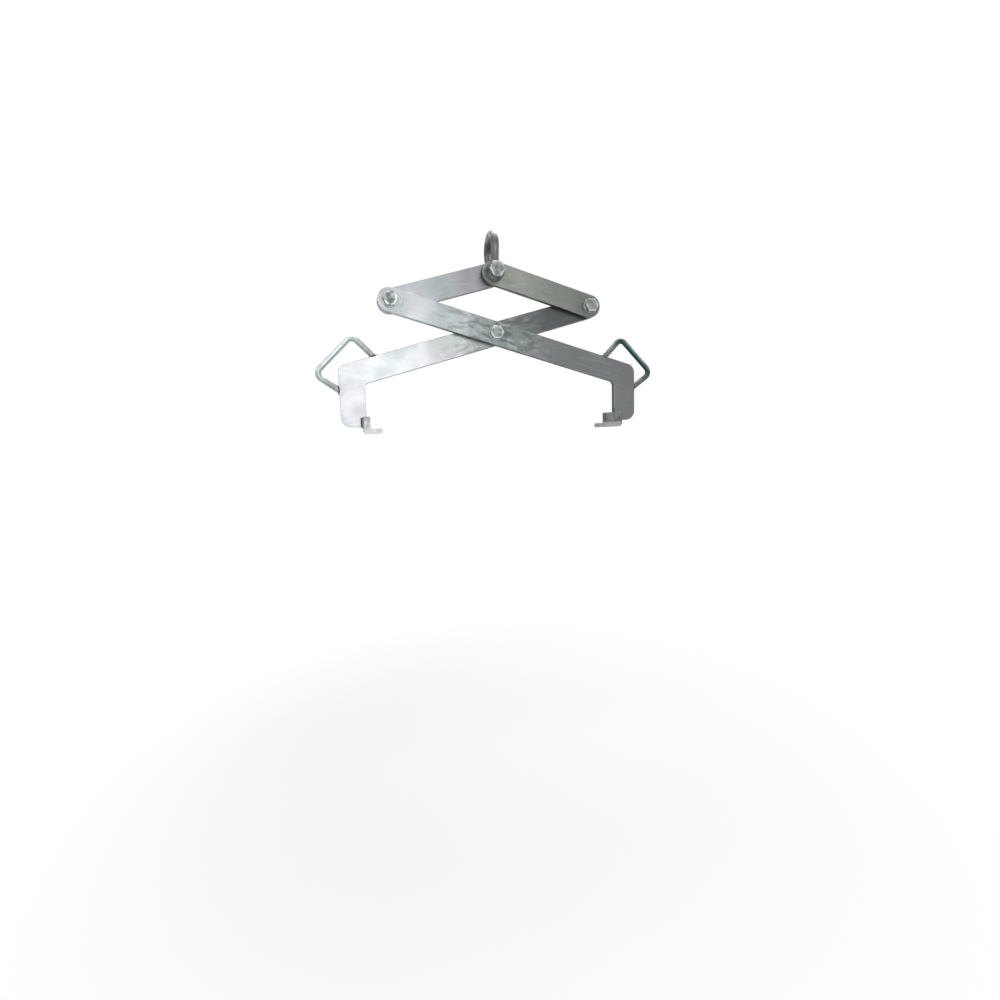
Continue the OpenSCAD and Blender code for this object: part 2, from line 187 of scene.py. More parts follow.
def merged_copy(node, name, finishes):
    """Copies a CAD node as a new piece with its finishes, whose flat faces are whole again."""
    piece = bpy.data.objects.new(name, frame["nodes"][node].data.copy())
    bpy.context.scene.collection.objects.link(piece)
    piece.data.materials.clear()
    for finish in finishes:
        piece.data.materials.append(finish)
    edit(piece)
    bpy.ops.mesh.select_all(action="SELECT")
    bpy.ops.mesh.remove_doubles(threshold=2e-6)
    bpy.ops.mesh.customdata_custom_splitnormals_clear()
    bpy.ops.mesh.dissolve_limited(angle_limit=math.radians(0.4))
    bpy.ops.object.mode_set(mode="OBJECT")
    return piece


def fit_out(piece, body, slot, *finishes):
    """Gives a finished piece its shading and body, and a new one its finish. slot is not used.
    """
    take(piece)
    bpy.ops.object.shade_smooth_by_angle(angle=math.radians(32))
    for finish in finishes:
        piece.data.materials.append(finish)
    apply_modifier(piece, "WEIGHTED_NORMAL", keep_sharp=True)
    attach(piece, body)


bow = merged_copy("shackle_bow", "shackle_bow_forged", [forging])
fit_out(bow, "shackle", "forged_shackle")
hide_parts("shackle_bow")


# Pin, nut and split pin of the shackle: a turned bolt with a rolled thread, dull zinc.
# The nut is run up to the eye, and the split pin through the bolt's end keeps it there.

pin_r = 0.011
pin_flat_r = 0.017
thread_pitch = 0.0025
nut_edge_r = 0.0005

pivot_rub, given, result = start_effect(
    "pivot_rub", {"Pivot": "Vector", "Reach": "Float"}, ["Worn", "Away"]
)
arm = add_node(pivot_rub, "VectorMath", {"operation": "SUBTRACT"}, {
    0: place_on(pivot_rub), 1: given["Pivot"],
})
flat = add_node(pivot_rub, "VectorMath", {"operation": "MULTIPLY"}, {
    0: arm.outputs[0], 1: (1, 0, 1),
})
radius = add_node(
    pivot_rub, "VectorMath", {"operation": "LENGTH"}, {0: flat.outputs[0]}
).outputs[1]
axes = add_node(pivot_rub, "SeparateXYZ", {}, {0: flat.outputs[0]}).outputs
turn = combine(pivot_rub, "ARCTAN2", axes[2], axes[0])
track = add_node(pivot_rub, "CombineXYZ", {}, {
    0: combine(pivot_rub, "MULTIPLY", radius, 700.0),
    1: combine(pivot_rub, "MULTIPLY", turn, 1.4),
}).outputs[0]
arcs = spread(pivot_rub, noise(pivot_rub, track, 1.0, 4.0), 0.44, 0.64)
reached = combine(pivot_rub, "DIVIDE", radius, given["Reach"])
fade = spread(pivot_rub, reached, 0.45, 1.0, 1.0, 0.0)
pivot_rub.links.new(combine(pivot_rub, "MULTIPLY", fade, arcs), result["Worn"])
pivot_rub.links.new(radius, result["Away"])


def bolt_zinc(name, pivots, flat_r):
    """Zinc on a bolt: dull on the head's face and the thread, bright round the hexagon, partly
    as spanner wear and partly as a painted glint.
    """
    finish, tree, shader = start_finish(name, 0.9)
    zinc = add_effect(tree, zinc_cloud, patches=85.0, spangle=0.1)
    away = 1.0
    for pivot in pivots:
        from_pivot = add_effect(tree, pivot_rub, pivot=pivot)["Away"]
        away = combine(tree, "MINIMUM", away, from_pivot)
    # Spanner wear and painted glint: patches round the rim of the hexagon are painted bright.
    spanner_rub_and_glint = combine(
        tree, "MULTIPLY", spread(tree, away, 0.62 * flat_r, 1.02 * flat_r),
        spread(tree, zinc["Shade"], 0.15, 0.75, 0.2, 1.0),
    )
    dull = mix_colour(tree, zinc["Shade"], (0.115, 0.135, 0.13, 1), (0.31, 0.345, 0.335, 1))
    feed(shader, "Base Color", mix_colour(tree, spanner_rub_and_glint, dull, (0.54, 0.58, 0.57, 1)))
    feed(shader, "Roughness", spread(tree, zinc["Shade"], 0.0, 1.0, 0.46, 0.30))
    roughen(tree, shader, zinc["Grain"], 0.1, 0.0003)
    return finish


pin_low, pin_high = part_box("shackle_pin")
pin_zinc = bolt_zinc("pin_zinc", [(pin_low + pin_high) / 2], pin_flat_r)

dull_zinc, tree, shader = start_finish("dull_zinc", 0.9)
zinc = add_effect(tree, zinc_cloud, patches=75.0, spangle=0.15)
feed(shader, "Base Color", mix_colour(
    tree, zinc["Shade"], (0.13, 0.14, 0.138, 1), (0.36, 0.375, 0.37, 1)
))
feed(shader, "Roughness", spread(tree, zinc["Shade"], 0.0, 1.0, 0.5, 0.28))


def select_where(piece, test):
    """Selects the vertices of the piece in edit mode whose place passes a test."""
    bpy.ops.object.mode_set(mode="OBJECT")
    for vertex in piece.data.vertices:
        vertex.select = test(vertex.co)
    bpy.ops.object.mode_set(mode="EDIT")


def join(pieces):
    """Makes several pieces one, under the first one's name."""
    take(pieces[0])
    for piece in pieces:
        piece.select_set(True)
    bpy.ops.object.join()
    return pieces[0]


def round_edges(piece, edge_r, edge_finish):
    """Rounds the sharp edges of a piece and gives the rounding a finish by its number."""
    apply_modifier(
        piece, "BEVEL", width=edge_r, segments=3, limit_method="ANGLE",
        angle_limit=math.radians(35), material=edge_finish,
    )


def rounded_copy(node, edge_r, body, slot, finishes):
    """Stands a copy in for a CAD node, with finishes for faces, roundings and narrow sides."""
    piece = merged_copy(node, node + "_rounded", finishes)
    round_edges(piece, edge_r, min(1, len(finishes) - 1))
    if len(finishes) == 3:
        for face in piece.data.polygons:
            if face.material_index == 0 and abs(face.normal.y) < 0.5:
                face.material_index = 2
    fit_out(piece, body, slot)
    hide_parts(node)


def rolled_thread(axis, start_y, end_y, crest_r, pitch):
    """Winds a thread of V section round an axis along Y."""
    depth = 0.6 * pitch
    root = (crest_r - depth, 0, 0)
    bpy.ops.object.select_all(action="DESELECT")
    bpy.ops.mesh.primitive_circle_add(vertices=3, radius=depth, location=root)
    thread = bpy.context.object
    bpy.ops.object.transform_apply(location=True)
    edit(thread)
    bpy.ops.mesh.select_all(action="SELECT")
    bpy.ops.transform.rotate(value=math.radians(90), orient_axis="Z", center_override=root)
    bpy.ops.object.mode_set(mode="OBJECT")
    turns = int((end_y - start_y) / pitch)
    apply_modifier(
        thread, "SCREW", axis="Y", screw_offset=pitch, iterations=turns, steps=40,
        render_steps=40, use_merge_vertices=False, use_normal_calculate=True,
    )
    edit(thread)
    bpy.ops.mesh.select_all(action="SELECT")
    bpy.ops.mesh.fill_holes(sides=4)
    bpy.ops.mesh.normals_make_consistent(inside=False)
    bpy.ops.transform.translate(value=(axis.x, start_y, axis.z))
    bpy.ops.object.mode_set(mode="OBJECT")
    return thread


def threaded_bolt(node, bolt_r, nut_face_y, pitch, finish):
    """Copies a bolt of the CAD model and cuts its end, past the nut's face, to a thread."""
    low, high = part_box(node)
    axis = (low + high) / 2
    head_edge_r = 0.0004
    end_chamfer = 0.0015
    neck_y = nut_face_y - pitch
    root_y = neck_y + 0.0005
    core = 1 - 0.55 * pitch / bolt_r
    bolt = merged_copy(node, node + "_threaded", [finish])
    round_edges(bolt, head_edge_r, 0)
    edit(bolt)
    select_where(bolt, lambda co: co.y < low.y)
    bpy.ops.transform.resize(value=(1, 0, 1), center_override=(0, low.y, 0))
    for step_y in (neck_y, root_y):
        bpy.ops.mesh.select_all(action="SELECT")
        bpy.ops.mesh.bisect(plane_co=(0, step_y, 0), plane_no=(0, 1, 0))
    select_where(bolt, lambda co: co.y > (neck_y + root_y) / 2)
    bpy.ops.transform.resize(value=(core, 1, core), center_override=axis)
    bpy.ops.object.mode_set(mode="OBJECT")
    crest_r = bolt_r - 0.00005
    thread = rolled_thread(axis, root_y, high.y - end_chamfer, crest_r, pitch)
    thread.data.materials.append(finish)
    return join([bolt, thread])


nut_face_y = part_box("shackle_nut")[1].y
pin = threaded_bolt("shackle_pin", pin_r, nut_face_y, thread_pitch, pin_zinc)
fit_out(pin, "shackle", "fastener")
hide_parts("shackle_pin")
rounded_copy("shackle_nut", nut_edge_r, "shackle", "fastener", [dull_zinc])

wire_r = 0.00095
eye_r = 0.004
low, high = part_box("split_pin")
split_y = (low.y + high.y) / 2
eye_z = high.z - 0.005
foot_z = low.z + 0.0083
bpy.ops.object.select_all(action="DESELECT")
bpy.ops.curve.primitive_bezier_curve_add(radius=0.001)
split_pin = bpy.context.object
split_pin.name = "split_pin_bent"
path = split_pin.data.splines[0]
bends = [(-0.0041, low.z + 0.001), (-0.0022, foot_z - 0.003), (-wire_r, foot_z + 0.001)]
bends += [(-wire_r, eye_z - 0.0065), (-0.0016, eye_z - 0.0045)]
bends += [
    (-eye_r * math.sin(turn), eye_z - eye_r * math.cos(turn))
    for turn in (math.radians(degrees) for degrees in (60, 100, 140, 180))
]
bends += [(-x, z) for x, z in reversed(bends[:-1])]
path.bezier_points.add(len(bends) - 2)
for point, (x, z) in zip(path.bezier_points, bends):
    point.co = (x, split_y, z)
    point.handle_left_type = "AUTO"
    point.handle_right_type = "AUTO"
split_pin.data.dimensions = "3D"
split_pin.data.bevel_depth = wire_r
split_pin.data.bevel_resolution = 3
split_pin.data.resolution_u = 8
split_pin.data.use_fill_caps = True
split_pin.location = (0, 0, 0)
bpy.ops.object.convert(target="MESH")
edit(split_pin)
bpy.ops.mesh.select_all(action="SELECT")
bpy.ops.mesh.remove_doubles(threshold=1e-6)
bpy.ops.mesh.normals_make_consistent(inside=False)
bpy.ops.object.mode_set(mode="OBJECT")
fit_out(split_pin, "shackle", "fastener", dull_zinc)
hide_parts("split_pin")


# Bush and washers of the top pivot: a plain bronze bush on the pin, which both links turn on,
# and bright punched washers that keep the links apart and off the shackle's eyes.

top_washer_edge_r = 0.0004

bronze, tree, shader = start_finish("plain_bronze", 1.0)
tarnish = add_effect(tree, zinc_cloud, patches=80.0, spangle=0.0)
feed(shader, "Base Color", mix_colour(
    tree, tarnish["Shade"], (0.22, 0.13, 0.06, 1), (0.52, 0.36, 0.17, 1)
))
feed(shader, "Roughness", spread(tree, tarnish["Shade"], 0.0, 1.0, 0.5, 0.3))

bright_zinc, tree, shader = start_finish("bright_zinc", 0.9)
zinc = add_effect(tree, zinc_cloud, patches=60.0, spangle=0.0)
clean = mix_colour(tree, zinc["Shade"], (0.26, 0.28, 0.28, 1), (0.46, 0.48, 0.475, 1))
dull_spots = spread(tree, zinc["Grain"], 0.60, 0.75)
feed(shader, "Base Color", mix_colour(tree, dull_spots, clean, (0.13, 0.14, 0.135, 1)))
feed(shader, "Roughness", spread(tree, zinc["Shade"], 0.0, 1.0, 0.44, 0.32))


def coat(node, finish):
    """Gives a CAD node its finish."""
    materials = frame["nodes"][node].data.materials
    materials.clear()
    materials.append(finish)


coat("top_bush", bronze)
rounded_copy("top_washers", top_washer_edge_r, "top_hub", "washer", [bright_zinc])


# Links: two bars of rolled flat steel, sawn and rounded at the ends, bored and zinc-coated.
# They run from the top pivot to the side pivots, and the left one lies behind the right one.

joint_at = {joint["name"]: Vector(joint["pos_m"]) for joint in frame["joints"]}
top_pivot = joint_at["tong_swing"]
left_pivot = joint_at["left_knuckle"]
right_pivot = joint_at["right_knuckle"]
centre_pivot = left_pivot + right_pivot - top_pivot
bar_slope = math.atan2(top_pivot.z - right_pivot.z, right_pivot.x)
bar_edge_r = 0.0011

drag_marks, given, result = start_effect(
    "drag_marks", {"Lean": "Float"}, ["Hairs", "Frost", "Dull"]
)
place = place_on(drag_marks)
leant = add_node(drag_marks, "VectorRotate", {"rotation_type": "Y_AXIS"}, {
    "Vector": place, "Angle": given["Lean"],
}).outputs[0]


def drawn_out(along, across, shift):
    """Places on a bar, stretched along it."""
    far = add_node(drag_marks, "VectorMath", {"operation": "MULTIPLY_ADD"}, {
        0: leant, 1: (along, across, across), 2: (shift, shift, shift),
    })
    return far.outputs[0]


hairs = noise(drag_marks, drawn_out(14.0, 520.0, 0.0), 1.0, 3.0)
strokes = noise(drag_marks, drawn_out(46.0, 150.0, 4.0), 1.0, 4.0, 0.3)
stains = noise(drag_marks, drawn_out(30.0, 75.0, 9.0), 1.0, 5.0, 0.4)
scratches = spread(drag_marks, hairs, 0.5, 0.72)
scratched = spread(drag_marks, noise(drag_marks, place, 15.0, 2.0), 0.4, 0.66)
drag_marks.links.new(combine(drag_marks, "MULTIPLY", scratches, scratched), result["Hairs"])
drag_marks.links.new(spread(drag_marks, strokes, 0.50, 0.64), result["Frost"])
drag_marks.links.new(spread(drag_marks, stains, 0.48, 0.62), result["Dull"])


def zinc_bar(name, lean, painted_light_tones, marked):
    """Satin zinc on flat bar, with light painted in. Its two colours, each with the place along
    X where it stands, are painted light: lighter towards the left where the key lamp falls,
    darker to the right.
    """
    finish, tree, shader = start_finish(name, 0.88)
    zinc = add_effect(tree, zinc_cloud, patches=18.0, spangle=0.04)
    marks = add_effect(tree, drag_marks, lean=lean)
    worn = add_effect(tree, pivot_rub, pivot=centre_pivot, reach=0.11)["Worn"]
    for pivot, reach in ((top_pivot, 0.045), (left_pivot, 0.06), (right_pivot, 0.06)):
        other = add_effect(tree, pivot_rub, pivot=pivot, reach=reach)["Worn"]
        worn = combine(tree, "MAXIMUM", worn, other)
    crossing = add_node(tree, "VectorMath", {"operation": "DISTANCE"}, {
        0: place_on(tree), 1: centre_pivot,
    })
    near = spread(tree, crossing.outputs[1], 0.05, 0.19, marked, 0.05)
    frost = combine(tree, "MULTIPLY", near, marks["Frost"])
    dull = combine(tree, "MULTIPLY", near, marks["Dull"])
    along = add_node(tree, "SeparateXYZ", {}, {0: place_on(tree)}).outputs[0]
    # Painted light: the base colour is painted lighter at the left end of the bar and darker at
    # the right.
    (left_x, left), (right_x, right) = painted_light_tones
    colour = mix_colour(tree, spread(tree, along, left_x, right_x), left, right)
    cast = mix_colour(tree, zinc["Drift"], (0.88, 0.96, 0.945, 1), (0.985, 0.965, 1.0, 1))
    colour = mix_colour(tree, 1.0, colour, cast, "MULTIPLY")
    clouds = spread(tree, zinc["Shade"], 0.0, 1.0, 0.13, 0.0)
    colour = mix_colour(tree, clouds, colour, (0.3, 0.3, 0.28, 1), "MULTIPLY")
    colour = mix_colour(tree, dull, colour, (0.50, 0.54, 0.52, 1), "MULTIPLY")
    colour = mix_colour(tree, frost, colour, (1.5, 1.55, 1.5, 1), "MULTIPLY")
    rubbed = combine(tree, "MULTIPLY", worn, 0.35)
    colour = mix_colour(tree, rubbed, colour, (0.10, 0.105, 0.10, 1))
    scratched = combine(tree, "MULTIPLY", marks["Hairs"], 0.16)
    colour = mix_colour(tree, scratched, colour, (0.56, 0.58, 0.58, 1))
    feed(shader, "Base Color", colour)
    satin = spread(tree, zinc["Shade"], 0.0, 1.0, 0.36, 0.31)
    matt = combine(tree, "MULTIPLY", frost, 0.14)
    feed(shader, "Roughness", combine(tree, "ADD", satin, matt))
    relief = combine(tree, "SUBTRACT", zinc["Grain"], marks["Hairs"])
    roughen(tree, shader, relief, 0.12, 0.0003)
    return finish


# Painted light: the left link is painted lighter than the right one, and each link darker
# towards its right end.
left_link_zinc = zinc_bar(
    "left_link_zinc", bar_slope, (
        (-0.21, (0.36, 0.385, 0.40, 1)), (0.0, (0.285, 0.285, 0.30, 1)),
    ), 0.5,
)
right_link_zinc = zinc_bar(
    "right_link_zinc", -bar_slope, (
        (0.01, (0.32, 0.325, 0.295, 1)), (0.26, (0.215, 0.215, 0.20, 1)),
    ), 0.5,
)

bar_rub_and_painted_light, tree, shader = start_finish("rubbed_edge_and_painted_light", 0.9)
zinc = add_effect(tree, zinc_cloud, patches=40.0, spangle=0.0)
along = add_node(tree, "SeparateXYZ", {}, {0: place_on(tree)}).outputs[0]
bare = mix_colour(tree, zinc["Shade"], (0.13, 0.135, 0.13, 1), (0.34, 0.35, 0.345, 1))
# Painted light: the edge roundings are painted pale towards the left end, where the key lamp
# falls; elsewhere they are rubbed zinc.
painted_left_light = spread(tree, along, -0.33, 0.0, 0.8, 0.0)
feed(shader, "Base Color", mix_colour(tree, painted_left_light, bare, (0.52, 0.53, 0.53, 1)))
feed(shader, "Roughness", spread(tree, zinc["Grain"], 0.3, 0.7, 0.34, 0.5))

bar_side, tree, shader = start_finish("cut_side", 0.75)
zinc = add_effect(tree, zinc_cloud, patches=26.0, spangle=0.0)
across = add_node(tree, "VectorMath", {"operation": "MULTIPLY"}, {
    0: place_on(tree), 1: (620.0, 22.0, 620.0),
}).outputs[0]
cut_lines = noise(tree, across, 1.0, 3.0)
along = add_node(tree, "SeparateXYZ", {}, {0: place_on(tree)}).outputs[0]
scale_and_painted_shade = mix_colour(tree, zinc["Shade"], (0.042, 0.040, 0.034, 1), (0.125, 0.120, 0.106, 1))
coat_and_painted_light = mix_colour(tree, zinc["Shade"], (0.30, 0.305, 0.30, 1), (0.55, 0.555, 0.55, 1))
# Painted light and shade: the narrow sides are painted pale towards the left, where the key lamp
# falls, and dark brown towards the right, partly scale and partly painted shade under the bars.
colour = mix_colour(tree, spread(tree, along, -0.33, 0.07), coat_and_painted_light, scale_and_painted_shade)
ridges = spread(tree, cut_lines, 0.5, 0.75, 0.0, 0.5)
feed(shader, "Base Color", mix_colour(tree, ridges, colour, (0.20, 0.195, 0.18, 1)))
feed(shader, "Roughness", spread(tree, cut_lines, 0.3, 0.7, 0.62, 0.46))
roughen(tree, shader, cut_lines, 0.3, 0.0003)

rounded_copy(
    "left_link", bar_edge_r, "left_link_set", "zinc_bar",
    [left_link_zinc, bar_rub_and_painted_light, bar_side],
)
rounded_copy(
    "right_link", bar_edge_r, "right_link_set", "zinc_bar",
    [right_link_zinc, bar_rub_and_painted_light, bar_side],
)


# Jaw arms: the same flat bar, cut to an elbow with a leg that hangs down to the jaw.
# They cross at the centre pivot, and a pressed-in bronze bush carries each turning bore.

# Painted light: each arm is painted pale at its left end, where the key lamp falls, and dark
# towards its right end.
right_arm_zinc = zinc_bar(
    "right_arm_zinc", -bar_slope, (
        (-0.25, (0.38, 0.40, 0.41, 1)), (0.20, (0.195, 0.204, 0.202, 1)),
    ), 0.95,
)
left_arm_zinc = zinc_bar(
    "left_arm_zinc", bar_slope, (
        (-0.13, (0.42, 0.425, 0.43, 1)), (0.17, (0.105, 0.113, 0.11, 1)),
    ), 0.7,
)
rounded_copy(
    "right_jaw_arm", bar_edge_r, "right_arm_set", "zinc_bar",
    [right_arm_zinc, bar_rub_and_painted_light, bar_side],
)
rounded_copy(
    "left_jaw_arm", bar_edge_r, "left_arm_set", "zinc_bar",
    [left_arm_zinc, bar_rub_and_painted_light, bar_side],
)
for bush in ("left_pivot_bush", "right_pivot_bush", "centre_bush"):
    coat(bush, bronze)


# Pivot bolts, washers and lock nuts: bright hexagon bolts from the front, with a washer under
# the head, between the bars and under the nut. A nylon ring in the nut's collar locks it.

bolt_r = 0.010
bolt_flat_r = 0.015
lock_nut_edge_r = 0.0004
washer_edge_r = 0.0005

washer_zinc, tree, shader = start_finish("washer_zinc", 0.9)
zinc = add_effect(tree, zinc_cloud, patches=70.0, spangle=0.1)
feed(shader, "Base Color", mix_colour(
    tree, zinc["Shade"], (0.27, 0.29, 0.285, 1), (0.53, 0.56, 0.55, 1)
))
feed(shader, "Roughness", spread(tree, zinc["Grain"], 0.3, 0.7, 0.34, 0.5))

pivot_zinc = bolt_zinc("pivot_zinc", [left_pivot, right_pivot, centre_pivot], bolt_flat_r)

nylon, tree, shader = start_finish("nylon_ring", 0.0)
fibre = noise(tree, place_on(tree), 500.0, 3.0)
feed(shader, "Base Color", mix_colour(
    tree, fibre, (0.10, 0.22, 0.42, 1), (0.16, 0.32, 0.55, 1)
))
feed(shader, "Roughness", spread(tree, fibre, 0.3, 0.7, 0.38, 0.55))


def nylon_ring(name, nut):
    """Presses a crowned ring into the end of a lock nut's collar."""
    low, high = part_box(nut)
    seat = ((low.x + high.x) / 2, high.y - 0.0004, (low.z + high.z) / 2)
    bpy.ops.object.select_all(action="DESELECT")
    bpy.ops.mesh.primitive_torus_add(
        location=seat, rotation=(math.radians(90), 0, 0), major_radius=bolt_r + 0.001,
        minor_radius=0.0012, major_segments=64, minor_segments=12,
    )
    ring = bpy.context.object
    ring.name = name
    bpy.ops.object.transform_apply()
    edit(ring)
    bpy.ops.mesh.select_all(action="SELECT")
    bpy.ops.transform.resize(value=(1, 0.6, 1), center_override=seat)
    bpy.ops.object.mode_set(mode="OBJECT")
    return ring


for pivot, body in (
    ("left_pivot", "left_link_set"),
    ("right_pivot", "right_link_set"),
    ("centre", "right_arm_set"),
):
    nut_face_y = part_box(pivot + "_nut")[1].y
    bolt = threaded_bolt(pivot + "_bolt", bolt_r, nut_face_y, thread_pitch, pivot_zinc)
    fit_out(bolt, body, "fastener")
    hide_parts(pivot + "_bolt")
    rounded_copy(pivot + "_nut", lock_nut_edge_r, body, "fastener", [bright_zinc])
    rounded_copy(pivot + "_washers", washer_edge_r, body, "washer", [washer_zinc])
    fit_out(nylon_ring(pivot + "_nylon", pivot + "_nut"), body, "fastener", nylon)


# Handles: round bar bent twice, with a blue-green cast in its zinc coat.
# Both ends are welded to the arm's edges with a rippled bead all round. The feet are the points
# where the rod's middle line meets those edges on the right arm, and the left arm mirrors them.

rod_r = 0.007
rod_y = 0.00875
grip_line = 0.1108
upper_foot = Vector((0.295328, 0, -0.279145))
lower_foot = Vector((0.378, 0, -0.357350))
upper_stretch = 1.145
lower_stretch = 1.22
ring_bead = 0.0026


def zinc_rod(name, hand, dark, pale, burnt, grey):
    """Zinc with painted light: pale on the outer side of the rod as a painted highlight, dark on
    the inside as painted shade, and grey near the welds.
    """
    finish, tree, shader = start_finish(name, 0.75)
    zinc = add_effect(tree, zinc_cloud, patches=45.0, spangle=0.0)
    place = place_on(tree)
    axes = add_node(tree, "SeparateXYZ", {}, {0: place}).outputs
    outward = combine(tree, "ADD", combine(tree, "MULTIPLY", axes[0], hand), axes[2])
    # Painted light: the rod is painted pale on its outer side, towards the grip and beyond, and
    # left dark further in.
    painted_outer_light = spread(tree, outward, grip_line - rod_r, grip_line + 0.006)
    painted_outer_light = combine(tree, "MULTIPLY", painted_outer_light, spread(tree, zinc["Shade"], 0.0, 0.8, 0.55, 1.0))
    colour = mix_colour(tree, painted_outer_light, dark, pale)
    heat = 0.0
    for foot in (upper_foot, lower_foot):
        weld = (hand * foot.x, -hand * rod_y, foot.z)
        away = add_node(tree, "VectorMath", {"operation": "DISTANCE"}, {0: place, 1: weld})
        warm = spread(tree, away.outputs[1], 0.02, 0.062, 1.0, 0.0)
        heat = combine(tree, "MAXIMUM", heat, warm)
    heated = mix_colour(tree, zinc["Shade"], burnt, grey)
    colour = mix_colour(tree, combine(tree, "MULTIPLY", heat, 0.85), colour, heated)
    nicks = spread(tree, noise(tree, place, 260.0, 2.0), 0.66, 0.72, 0.0, 0.3)
    feed(shader, "Base Color", mix_colour(tree, nicks, colour, (0.40, 0.45, 0.44, 1)))
    feed(shader, "Roughness", spread(tree, zinc["Shade"], 0.0, 1.0, 0.46, 0.32))
    roughen(tree, shader, zinc["Grain"], 0.035, 0.0003)
    return finish


# Painted light: the left rod's zinc is the right rod's, painted much paler as if lit, with a
# paler grey near its welds too.
right_rod_zinc = zinc_rod(
    "right_rod_zinc", 1, (0.018, 0.052, 0.052, 1), (0.29, 0.42, 0.41, 1),
    (0.13, 0.14, 0.14, 1), (0.33, 0.34, 0.345, 1),
)
lit_left_rod_zinc = zinc_rod(
    "lit_left_rod_zinc", -1, (0.40, 0.47, 0.47, 1), (0.74, 0.83, 0.83, 1),
    (0.27, 0.28, 0.285, 1), (0.47, 0.475, 0.485, 1),
)
for node, rod_zinc, body in (
    ("right_handle", right_rod_zinc, "right_arm_set"),
    ("left_handle", lit_left_rod_zinc, "left_arm_set"),
):
    rod = merged_copy(node, node + "_bent", [rod_zinc])
    fit_out(rod, body, "zinc_rod")
    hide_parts(node)

weld_zinc, tree, shader = start_finish("weld_bead", 0.8)
zinc = add_effect(tree, zinc_cloud, patches=150.0, spangle=0.2)
feed(shader, "Base Color", mix_colour(
    tree, zinc["Shade"], (0.075, 0.075, 0.068, 1), (0.27, 0.285, 0.28, 1)
))
feed(shader, "Roughness", spread(tree, zinc["Grain"], 0.3, 0.7, 0.36, 0.58))
roughen(tree, shader, zinc["Grain"], 0.3, 0.0004)


def weld_ripple(name, at, size):
    """One ripple of a weld bead that runs along Y: a flattened drop that leans back."""
    bpy.ops.object.select_all(action="DESELECT")
    bpy.ops.mesh.primitive_uv_sphere_add(segments=10, ring_count=6, radius=size, location=at)
    ripple = bpy.context.object
    ripple.name = name
    bpy.ops.object.transform_apply()
    edit(ripple)
    bpy.ops.mesh.select_all(action="SELECT")
    bpy.ops.transform.resize(value=(1, 0.5, 1), center_override=at)
    bpy.ops.transform.rotate(value=math.radians(24), orient_axis="X", center_override=at)
    return ripple


def ring_weld(name, foot, normal_turn, stretch):
    """Lays a bead round a rod's end, on an edge whose normal is turned from Z about Y."""
    ripples = 26
    ring = weld_ripple(name, (rod_r, 0, 0), ring_bead)
    bpy.ops.mesh.spin(
        steps=ripples - 1, dupli=True, angle=math.tau * (ripples - 1) / ripples,
        center=(0, 0, 0), axis=(0, 0, 1),
    )
    bpy.ops.mesh.select_all(action="SELECT")
    bpy.ops.transform.resize(value=(stretch, 1, 1), center_override=(0, 0, 0))
    bpy.ops.object.mode_set(mode="OBJECT")
    ring.rotation_euler = (0, normal_turn, 0)
    ring.location = foot
    take(ring)
    bpy.ops.object.transform_apply()
    return ring


for side, body, hand in (("right", "right_arm_set", 1), ("left", "left_arm_set", -1)):
    upper = Vector((hand * upper_foot.x, -hand * rod_y, upper_foot.z))
    lower = Vector((hand * lower_foot.x, -hand * rod_y, lower_foot.z))
    leg_turn = hand * math.radians(90)
    welds = join([
        ring_weld(side + "_handle_welds", upper, hand * bar_slope, upper_stretch),
        ring_weld(side + "_lower_weld", lower, leg_turn, lower_stretch),
    ])
    fit_out(welds, body, "zinc_rod", weld_zinc)


# Jaw shoes: steel L-section rolled to a curve, its lip worn by the loads it has held.
# Each takes the edge of the leg in a slot and is welded to it on both sides and underneath.

lip_height = 0.0105
lip_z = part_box("right_jaw_shoe")[0].z + lip_height
shoe_edge_r = 0.0009
back_bead = 0.0034
heel_bead = 0.003
bead_proud = 0.0004
heel_proud = 0.0003
bead_inset = 0.001


def shoe_zinc(name, dark, pale, bare):
    """Scuffed zinc that is worn through to the bare steel on the lip."""
    finish, tree, shader = start_finish(name, 0.85)
    zinc = add_effect(tree, zinc_cloud, patches=40.0, spangle=0.1)
    marks = add_effect(tree, drag_marks, lean=0.0)
    height = add_node(tree, "SeparateXYZ", {}, {0: place_on(tree)}).outputs[2]
    lip_wear = combine(
        tree, "MULTIPLY", spread(tree, height, lip_z - 0.002, lip_z + 0.006, 1.0, 0.0),
        spread(tree, zinc["Grain"], 0.3, 0.65, 0.6, 1.0),
    )
    colour = mix_colour(tree, zinc["Shade"], dark, pale)
    colour = mix_colour(tree, lip_wear, colour, bare)
    scuffs = combine(tree, "MULTIPLY", marks["Hairs"], 0.5)
    feed(shader, "Base Color", mix_colour(tree, scuffs, colour, (0.45, 0.46, 0.45, 1)))
    feed(shader, "Roughness", spread(tree, zinc["Shade"], 0.0, 1.0, 0.52, 0.34))
    return finish


# Painted light: the left shoe's zinc is the right one's, painted much paler as if lit.
right_shoe_zinc = shoe_zinc(
    "right_shoe_zinc", (0.085, 0.09, 0.088, 1), (0.22, 0.23, 0.228, 1), (0.34, 0.335, 0.32, 1)
)
lit_left_shoe_zinc = shoe_zinc(
    "lit_left_shoe_zinc", (0.27, 0.29, 0.31, 1), (0.56, 0.585, 0.61, 1), (0.47, 0.475, 0.48, 1)
)
rounded_copy("right_jaw_shoe", shoe_edge_r, "right_arm_set", "jaw_steel", [right_shoe_zinc])
rounded_copy("left_jaw_shoe", shoe_edge_r, "left_arm_set", "jaw_steel", [lit_left_shoe_zinc])


